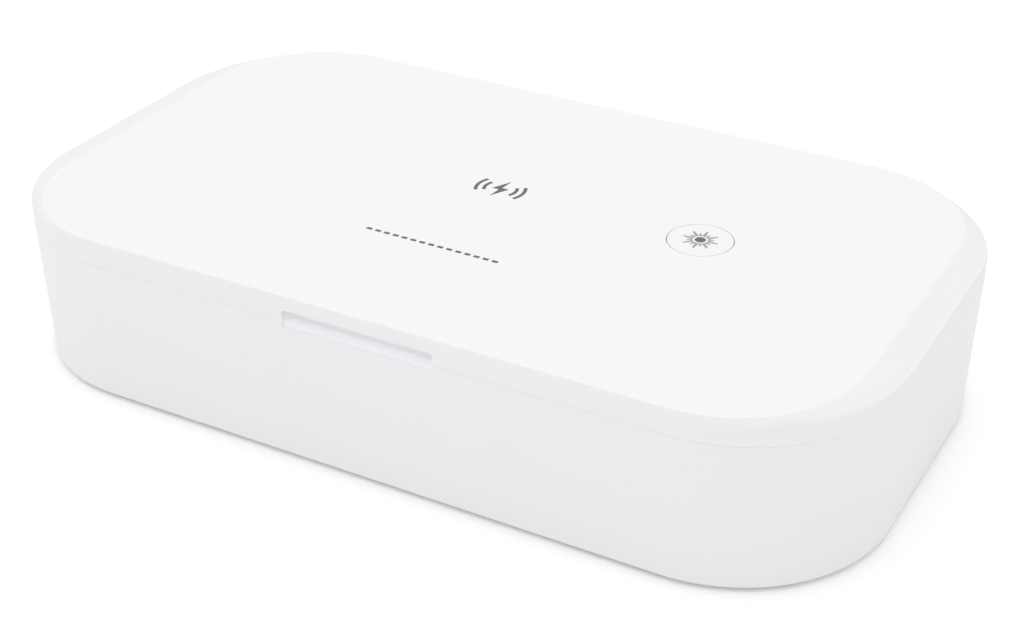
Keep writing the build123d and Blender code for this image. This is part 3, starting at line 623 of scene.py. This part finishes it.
def dressed(node, bm, material):
    """A piece made from a node's shape takes its place, smooth over its curves and sharp at its edges."""
    for face in bm.faces:
        face.smooth = True
    normals = blended_normals(bm)
    piece = finished(node + "_piece", mesh_of(bm, node), material, node)
    piece.data.normals_split_custom_set(normals)
    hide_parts(node)
    return piece


def finish_node(node, material):
    """A node whose shape is right keeps it and gets its finish."""
    NODES[node].data.materials.clear()
    NODES[node].data.materials.append(material)


def middle(node):
    """The middle of a node's box."""
    low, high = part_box(node)
    return (low + high) / 2


# ---------------------------------------------------------------- operators
class SANITIZER_OT_lid_shell(bpy.types.Operator):
    """The lid's moulding with soft outer edges"""

    bl_idname = "sanitizer.lid_shell"
    bl_label = "Lid shell"

    def execute(self, context):
        sizes = context.scene.sanitizer_sizes
        colours = context.scene.sanitizer_colours
        top = CAD_BOX[1].z
        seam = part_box("base_shell")[1].z + 0.5 * MM
        wall = 0.7 * MM
        bm = merged_copy("lid_shell")
        rounded(bm, sizes.edge_round, 3, lambda place: inset(place) < wall and place.z > seam)
        rounded(bm, sizes.edge_round, 3, lambda place: place.z > top - NEAR)
        lowered(bm)
        # the crown's heights tell the finish where to paint shade on the lid's end slopes
        crown = (top - sizes.facet_drop, top)
        material = moulded_white("moulded white lid", colours.shell, colours.shell_gloss, crown)
        dressed("lid_shell", bm, material)
        return {"FINISHED"}


class SANITIZER_OT_base_shell(bpy.types.Operator):
    """The base's moulding with soft outer edges and a rim that closes on the lid"""

    bl_idname = "sanitizer.base_shell"
    bl_label = "Base shell"

    def execute(self, context):
        sizes = context.scene.sanitizer_sizes
        colours = context.scene.sanitizer_colours
        low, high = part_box("base_shell")
        bm = merged_copy("base_shell")
        for vert in bm.verts:
            if vert.co.z > high.z - NEAR:
                vert.co.z = high.z + sizes.rim_lift
        sole = low.z + NEAR
        foot, wall = 3.0 * MM, 1.7 * MM
        rounded(bm, sizes.foot_round, 4, lambda place: inset(place) < foot and place.z < sole)
        rounded(bm, sizes.parting_round, 2, lambda place: inset(place) < wall and place.z > high.z)
        white = moulded_white("moulded white base", colours.shell, colours.shell_gloss)
        dressed("base_shell", bm, white)
        return {"FINISHED"}


class SANITIZER_OT_finger_scoop(bpy.types.Operator):
    """The hollow on the base's ledge, under the lid's finger notch, that runs out at both ends"""

    bl_idname = "sanitizer.finger_scoop"
    bl_label = "Finger scoop"

    def execute(self, context):
        sizes = context.scene.sanitizer_sizes
        colours = context.scene.sanitizer_colours
        set_back, sink = 0.4 * MM, 0.05 * MM
        front = CAD_BOX[0].y + set_back
        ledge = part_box("base_shell")[1].z - sizes.ledge_drop - sink
        half = sizes.scoop_width / 2
        # the section's corners, as depth from the front and rise from the ledge in mm; the first five are the hollow
        hollow = ((0.0, 0.0), (0.85, 0.7), (1.6, 1.5), (1.78, 1.9), (1.8, 3.6), (3.0, 3.6), (3.0, 0.0))
        # how far from each end in mm the hollow has reached which share of its depth
        ends = ((0.0, 0.04), (0.4, 0.45), (1.1, 0.8), (2.3, 1.0))
        sections = [(-half + run * MM, share) for run, share in ends]
        sections += [(-x, share) for x, share in reversed(sections)]
        bm = bmesh.new()
        x, share = sections[0]
        corners = [bm.verts.new((x, front + depth * MM * share, ledge + rise * MM)) for depth, rise in hollow[:5]]
        corners += [bm.verts.new((x, front + depth * MM, ledge + rise * MM)) for depth, rise in hollow[5:]]
        end = bm.faces.new(corners)
        to_front = Matrix.Translation((0.0, -front, 0.0))
        for next_x, next_share in sections[1:]:
            made = bmesh.ops.extrude_face_region(bm, geom=[end])["geom"]
            if (x, share) != sections[0]:
                bmesh.ops.delete(bm, geom=[end], context="FACES_ONLY")
            end = next(part for part in made if isinstance(part, bmesh.types.BMFace))
            bmesh.ops.translate(bm, verts=end.verts[:], vec=(next_x - x, 0.0, 0.0))
            behind = front + hollow[5][0] * MM - NEAR
            curved = [vert for vert in end.verts if vert.co.y < behind]
            bmesh.ops.scale(bm, vec=(1.0, next_share / share, 1.0), space=to_front, verts=curved)
            x, share = next_x, next_share
        bmesh.ops.recalc_face_normals(bm, faces=bm.faces[:])
        for face in bm.faces:
            face.smooth = True
        # the hollow's lower slope gets painted light
        white = white_with_painted_light("scoop white with painted light", colours.shell, ledge + 1.5 * MM)
        piece = finished("finger_scoop", mesh_of(bm, "finger_scoop"), white, "base_shell")
        piece.data.set_sharp_from_angle(angle=radians(50.0))
        return {"FINISHED"}


class SANITIZER_OT_chamber(bpy.types.Operator):
    """The mirrored tray and the mirrored liner of the lid"""

    bl_idname = "sanitizer.chamber"
    bl_label = "Mirrored chamber"

    def execute(self, context):
        mirror = mirror_coating("evaporated mirror", context.scene.sanitizer_colours.mirror)
        for node in ("chamber_tray", "lid_liner"):
            dressed(node, merged_copy(node, flat_faces=False), mirror)
        return {"FINISHED"}


class SANITIZER_OT_button(bpy.types.Operator):
    """The button's cap with a soft edge"""

    bl_idname = "sanitizer.button"
    bl_label = "Button cap"

    def execute(self, context):
        sizes = context.scene.sanitizer_sizes
        colours = context.scene.sanitizer_colours
        top = CAD_BOX[1].z
        bm = merged_copy("button_cap")
        fill = Matrix.Translation(-middle("button_cap"))
        bmesh.ops.scale(bm, vec=(sizes.cap_fill, sizes.cap_fill, 1.0), space=fill, verts=bm.verts[:])
        rounded(bm, sizes.edge_round, 4, lambda place: place.z > top - NEAR)
        lowered(bm)
        white = moulded_white("moulded white button", colours.shell, colours.shell_gloss - 0.05)
        dressed("button_cap", bm, white)
        return {"FINISHED"}


class SANITIZER_OT_marks(bpy.types.Operator):
    """The charging mark, the dashed guide line and the sun on the button"""

    bl_idname = "sanitizer.marks"
    bl_label = "Printed marks"

    def execute(self, context):
        sizes = context.scene.sanitizer_sizes
        colours = context.scene.sanitizer_colours
        ink = printed_ink("printed ink", colours.ink)
        coil = middle("ferrite_sheet")
        mark_place = coil + Vector((0.0, sizes.charge_offset, 0.0))
        line_place = coil + Vector((0.0, -sizes.guide_offset, 0.0))
        button = middle("button_cap")
        self.printed("charging_mark", self.charging_mark(sizes.charge_mark), mark_place, "lid_shell", ink)
        dashes = self.guide_line(sizes.guide_length, sizes.guide_dashes)
        self.printed("guide_line", dashes, line_place, "lid_shell", ink)
        self.printed("sun_disc", self.sun_disc(sizes.sun_mark), button, "button_cap", ink)
        ray_ink = printed_ink("thin ink", colours.ray_ink)
        self.printed("sun_rays", self.sun_rays(sizes.sun_mark), button, "button_cap", ray_ink)
        return {"FINISHED"}

    @staticmethod
    def printed(name, bm, place, node, ink):
        """Gives the flat faces their thickness and sets them on the lid's top."""
        depth = bpy.context.scene.sanitizer_sizes.ink_depth
        raised = bmesh.ops.extrude_face_region(bm, geom=bm.faces[:])
        verts = [part for part in raised["geom"] if isinstance(part, bmesh.types.BMVert)]
        bmesh.ops.translate(bm, verts=verts, vec=(0.0, 0.0, depth))
        bmesh.ops.recalc_face_normals(bm, faces=bm.faces[:])
        bmesh.ops.translate(bm, verts=bm.verts[:], vec=(place.x, place.y, ink_level()))
        finished(name, mesh_of(bm, name), ink, node)

    @staticmethod
    def polygon(bm, points):
        """A flat face through some points."""
        return bm.faces.new([bm.verts.new((x, y, 0.0)) for x, y in points])

    @staticmethod
    def arc(bm, radius, line, start, turn):
        """A curved bar about the mark's middle."""
        ends = [
            bm.verts.new((reach * cos(start), reach * sin(start), 0.0))
            for reach in (radius - line / 2, radius + line / 2)
        ]
        bmesh.ops.spin(
            bm, geom=[*ends, bm.edges.new(ends)], cent=(0.0, 0.0, 0.0), axis=(0.0, 0.0, 1.0),
            dvec=(0.0, 0.0, 0.0), angle=turn, steps=16, use_merge=False, use_duplicate=False,
            use_normal_flip=False,
        )

    def charging_mark(self, width):
        """A bolt between two pairs of plain arcs."""
        bm = bmesh.new()
        unit = width / 13.0
        bolt = ((0.6, 4.4), (-2.0, -0.5), (-0.2, -0.5), (-0.6, -4.4), (2.0, 0.5), (0.2, 0.5))
        self.polygon(bm, [(x * unit, y * unit) for x, y in bolt])
        for radius in (4.0, 6.0):
            for start in (-0.55, pi - 0.55):
                self.arc(bm, radius * unit, 0.9 * unit, start, 1.1)
        return bm

    def guide_line(self, length, dashes):
        """A row of equal dashes."""
        bm = bmesh.new()
        step = length / dashes
        for dash in range(dashes):
            x = -length / 2 + (dash + 0.5) * step
            half_long, half_wide = 0.31 * step, 0.19 * step
            self.polygon(bm, [
                (x - half_long, -half_wide), (x + half_long, -half_wide),
                (x + half_long, half_wide), (x - half_long, half_wide),
            ])
        return bm

    @staticmethod
    def sun_disc(width):
        """The round middle of the sun."""
        bm = bmesh.new()
        bmesh.ops.create_circle(bm, cap_ends=True, segments=32, radius=0.15 * width)
        return bm

    def sun_rays(self, width):
        """Long rays with short ones between them."""
        bm = bmesh.new()
        for near, far, wide, turn in ((0.21, 0.5, 0.11, 0.0), (0.21, 0.37, 0.08, pi / 8)):
            for step in range(8):
                ray = self.polygon(bm, [
                    (near * width, -wide * width / 2), (far * width, -wide * width / 5),
                    (far * width, wide * width / 5), (near * width, wide * width / 2),
                ])
                spin = Matrix.Rotation(turn + pi / 4 * step, 3, "Z")
                bmesh.ops.rotate(bm, cent=(0.0, 0.0, 0.0), matrix=spin, verts=ray.verts[:])
        return bm


class SANITIZER_OT_rubber(bpy.types.Operator):
    """Feet and lid stops"""

    bl_idname = "sanitizer.rubber"
    bl_label = "Rubber pads"

    def execute(self, context):
        rubber = soft_rubber("soft rubber", (0.09, 0.09, 0.095))
        feet = merged_copy("rubber_feet")
        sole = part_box("rubber_feet")[0].z + NEAR
        rounded(feet, 0.3 * MM, 3, lambda place: place.z < sole)
        dressed("rubber_feet", feet, rubber)
        stops = merged_copy("lid_bumpers")
        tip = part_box("lid_bumpers")[0].z + NEAR
        rounded(stops, 0.2 * MM, 3, lambda place: place.z < tip)
        dressed("lid_bumpers", stops, rubber)
        return {"FINISHED"}


class SANITIZER_OT_metal(bpy.types.Operator):
    """Hinge pins, screws, the socket's shell and contacts, and the magnet"""

    bl_idname = "sanitizer.metal"
    bl_label = "Metal parts"

    def execute(self, context):
        pins = merged_copy("hinge_pins")
        rounded(pins, 0.15 * MM, 3, lambda place: True)
        dressed("hinge_pins", pins, turned_steel("drawn steel", (0.60, 0.60, 0.61), 0))
        low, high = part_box("tray_screws")
        head = (high.y - low.y) / 2
        neck = low.z + 2.2 * MM
        pitch = context.scene.sanitizer_sizes.thread_pitch
        thread = rolled_thread("rolled thread", (0.55, 0.55, 0.56), high.x - head, neck, pitch)
        screws = bmesh.new()
        for x in (low.x + head, high.x - head):
            self.screw(screws, Vector((x, (low.y + high.y) / 2, low.z)), head, high.z - low.z)
        dressed("tray_screws", screws, thread)
        socket = merged_copy("usb_socket")
        rounded(socket, 0.08 * MM, 2, lambda place: True)
        dressed("usb_socket", socket, turned_steel("stamped steel", (0.66, 0.66, 0.67), 1))
        self.contacts()
        finish_node("lid_magnet", turned_steel("nickel plate", (0.70, 0.69, 0.66), 2))
        return {"FINISHED"}

    @staticmethod
    def drawn(bm, ring, centre, steps):
        """Draws a ring of edges through (width factor, rise) steps about a centre, then closes it."""
        for factor, rise in steps:
            made = bmesh.ops.extrude_edge_only(bm, edges=ring)["geom"]
            verts = [part for part in made if isinstance(part, bmesh.types.BMVert)]
            ring = [part for part in made if isinstance(part, bmesh.types.BMEdge) and all(
                vert in verts for vert in part.verts) and len(part.link_faces) == 1]
            space = Matrix.Translation(-centre)
            bmesh.ops.scale(bm, vec=(factor, factor, 1.0), space=space, verts=verts)
            bmesh.ops.translate(bm, vec=(0.0, 0.0, rise), verts=verts)
        bmesh.ops.holes_fill(bm, edges=ring, sides=0)

    def screw(self, bm, foot, head, length):
        """A pan head with a cross recess, face down, on a shank with a short point."""
        wide, slim = 0.6 * head, 0.17 * head
        cross = (
            (slim, wide), (-slim, wide), (-slim, slim), (-wide, slim), (-wide, -slim), (-slim, -slim),
            (-slim, -wide), (slim, -wide), (slim, -slim), (wide, -slim), (wide, slim), (slim, slim),
        )
        place = Matrix.Translation(foot)
        corners = [bm.verts.new(place @ Vector((x, y, 0.0))) for x, y in cross]
        recess = [bm.edges.new((a, b)) for a, b in zip(corners, corners[1:] + corners[:1])]
        circle = bmesh.ops.create_circle(bm, segments=36, radius=0.74 * head, matrix=place)["verts"]
        rim = list(dict.fromkeys(edge for vert in circle for edge in vert.link_edges))
        bmesh.ops.bridge_loops(bm, edges=recess + rim)
        self.drawn(bm, recess, foot, ((0.9, 0.35 * MM), (0.45, 0.3 * MM)))
        self.drawn(bm, rim, foot, (
            (1.18, 0.08 * MM), (1.09, 0.18 * MM), (1.05, 0.3 * MM), (1.0, 0.43 * MM), (0.51, 0.0),
            (1.0, length - 1.9 * MM), (0.45, 0.9 * MM),
        ))
        bmesh.ops.recalc_face_normals(bm, faces=bm.faces[:])

    @staticmethod
    def contacts():
        """Twelve gilt strips on each face of the socket's tongue, with rounded front ends."""
        low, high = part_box("usb_tongue")
        pitch, width, thickness = 0.5 * MM, 0.25 * MM, 0.04 * MM
        bm = bmesh.new()
        for strip in range(12):
            x = (strip - 5.5) * pitch + (low.x + high.x) / 2
            set_back = 0.3 * MM if strip in (0, 3, 8, 11) else 0.6 * MM
            length = high.y - set_back - low.y
            for level in (low.z, high.z):
                made = bmesh.ops.create_cube(bm, size=1.0)["verts"]
                bmesh.ops.scale(bm, vec=(width, length, thickness), verts=made)
                bmesh.ops.translate(bm, vec=(x, low.y + length / 2, level), verts=made)
        front = [
            edge for edge in bm.edges
            if abs(edge.verts[0].co.z - edge.verts[1].co.z) > NEAR and edge.verts[0].co.y > high.y - MM
        ]
        bevelled(bm, front, 0.1 * MM, 3)
        gilt = turned_steel("gilt contacts", (0.83, 0.62, 0.28), 1)
        finished("usb_contacts", mesh_of(bm, "usb_contacts"), gilt, "usb_tongue")


class SANITIZER_OT_electronics(bpy.types.Operator):
    """Boards, lamps, coil, sensors and leads"""

    bl_idname = "sanitizer.electronics"
    bl_label = "Electronics"

    def execute(self, context):
        colours = context.scene.sanitizer_colours
        coil = middle("ferrite_sheet")
        green = circuit_board("solder mask", colours.solder_mask)
        white = lamp_board("lamp board mask", (0.82, 0.82, 0.80))
        black = moulding_compound("moulding compound", (0.03, 0.03, 0.032))
        ceramic = lamp_ceramic("lamp ceramic", (0.78, 0.72, 0.52))
        finishes = {
            "power_board": green, "control_board": green,
            "base_lamp_boards": white, "lid_lamp_strips": white,
            "power_parts": black, "control_parts": black, "hall_sensor": black, "usb_tongue": black,
            "button_switch": black, "switch_stem": black,
            "base_lamps": ceramic, "lid_lamps": ceramic, "status_leds": ceramic,
            "base_windows": quartz("quartz", (0.95, 0.97, 1.0)),
            "charging_coil": wound_wire("wound wire", (0.60, 0.28, 0.12), coil, 1.1 * MM),
            "ferrite_sheet": sintered("sintered ferrite", (0.07, 0.07, 0.075)),
            "base_harness": flat_cable("flat cable base", (0.80, 0.80, 0.78), 0),
            "lid_harness": flat_cable("flat cable lid", (0.80, 0.80, 0.78), 0),
        }
        finishes["lid_windows"] = finishes["base_windows"]
        for node, material in finishes.items():
            finish_node(node, material)
        return {"FINISHED"}


class SANITIZER_OT_stage(bpy.types.Operator):
    """Floor, even light, soft boxes and camera"""

    bl_idname = "sanitizer.stage"
    bl_label = "Studio"

    def execute(self, context):
        studio = context.scene.sanitizer_studio
        self.floor(context.scene.sanitizer_colours.floor, studio.floor_glow)
        self.surroundings(studio.ambient)
        self.soft_box("soft box above", (-0.05, 0.0, 0.85), (1.0, 0.8), studio.overhead)
        self.soft_box("soft box left", (-0.8, -0.6, 0.4), (0.6, 0.6), studio.side)
        self.camera(studio)
        context.scene.view_settings.view_transform = "Standard"
        return {"FINISHED"}

    @staticmethod
    def floor(colour, glow):
        bm = bmesh.new()
        bmesh.ops.create_grid(bm, x_segments=1, y_segments=1, size=4.0)
        floor = bpy.data.objects.new("floor", mesh_of(bm, "floor"))
        bpy.context.scene.collection.objects.link(floor)
        finish = Finish("studio floor", colour, 0.9, specular_ior_level=0.2, emission_strength=1.0)
        finish.paint("Emission Color", finish.mix(finish.seen_directly(), (0.0, 0.0, 0.0), (glow, glow, glow)))
        floor.data.materials.append(finish.material)

    @staticmethod
    def surroundings(ambient):
        world = bpy.data.worlds.new("studio surroundings")
        world.use_nodes = True
        bpy.context.scene.world = world
        sky = Nodes(world.node_tree)
        light = sky.mix(sky.seen_directly(), (ambient, ambient, ambient), (1.0, 1.0, 1.0))
        sky.feed(sky.tree.nodes["Background"].inputs["Color"], light)

    @staticmethod
    def soft_box(name, place, size, power):
        """An area lamp that faces the middle of the box."""
        light = bpy.data.lights.new(name, "AREA")
        light.shape = "RECTANGLE"
        light.size, light.size_y = size
        light.energy = power
        lamp = bpy.data.objects.new(name, light)
        lamp.location = place
        lamp.rotation_euler = Vector(place).to_track_quat("Z", "Y").to_euler()
        bpy.context.scene.collection.objects.link(lamp)

    @staticmethod
    def camera(studio):
        back = Vector((
            sin(studio.azimuth) * cos(studio.elevation),
            -cos(studio.azimuth) * cos(studio.elevation),
            sin(studio.elevation),
        ))
        level_right = Vector((0.0, 0.0, 1.0)).cross(back).normalized()
        level_up = back.cross(level_right)
        right = level_right * cos(studio.roll) + level_up * sin(studio.roll)
        up = level_up * cos(studio.roll) - level_right * sin(studio.roll)
        place = back * studio.distance + right * studio.pan_right + up * studio.pan_up
        data = bpy.data.cameras.new("camera")
        data.lens = studio.lens
        data.sensor_width = 36.0
        data.clip_start = 0.01
        camera = bpy.data.objects.new("camera", data)
        camera.matrix_world = Matrix.Translation(place) @ Matrix((right, up, back)).transposed().to_4x4()
        bpy.context.scene.collection.objects.link(camera)
        bpy.context.scene.camera = camera


class SANITIZER_PT_panel(bpy.types.Panel):
    """The sizes, colours and steps of the box"""

    bl_label = "Sanitizer box"
    bl_idname = "SANITIZER_PT_panel"
    bl_space_type = "VIEW_3D"
    bl_region_type = "UI"
    bl_category = "Sanitizer"

    def draw(self, context):
        layout = self.layout
        for group in (
            context.scene.sanitizer_sizes, context.scene.sanitizer_colours, context.scene.sanitizer_studio,
        ):
            box = layout.box()
            for name in group.bl_rna.properties.keys():
                if name not in {"rna_type", "name"}:
                    box.prop(group, name)
        for step in STEPS:
            layout.operator(step.bl_idname)


STEPS = (
    SANITIZER_OT_lid_shell,
    SANITIZER_OT_base_shell,
    SANITIZER_OT_finger_scoop,
    SANITIZER_OT_chamber,
    SANITIZER_OT_button,
    SANITIZER_OT_marks,
    SANITIZER_OT_rubber,
    SANITIZER_OT_metal,
    SANITIZER_OT_electronics,
    SANITIZER_OT_stage,
)
CLASSES = (SanitizerSizes, SanitizerColours, SanitizerStudio, *STEPS, SANITIZER_PT_panel)


def register():
    for part in CLASSES:
        bpy.utils.register_class(part)
    bpy.types.Scene.sanitizer_sizes = bpy.props.PointerProperty(type=SanitizerSizes)
    bpy.types.Scene.sanitizer_colours = bpy.props.PointerProperty(type=SanitizerColours)
    bpy.types.Scene.sanitizer_studio = bpy.props.PointerProperty(type=SanitizerStudio)


def unregister():
    del bpy.types.Scene.sanitizer_studio
    del bpy.types.Scene.sanitizer_colours
    del bpy.types.Scene.sanitizer_sizes
    for part in reversed(CLASSES):
        bpy.utils.unregister_class(part)


def main():
    register()
    bpy.ops.sanitizer.lid_shell()
    bpy.ops.sanitizer.base_shell()
    bpy.ops.sanitizer.finger_scoop()
    bpy.ops.sanitizer.chamber()
    bpy.ops.sanitizer.button()
    bpy.ops.sanitizer.marks()
    bpy.ops.sanitizer.rubber()
    bpy.ops.sanitizer.metal()
    bpy.ops.sanitizer.electronics()
    bpy.ops.sanitizer.stage()


if __name__ == "__main__":
    main()
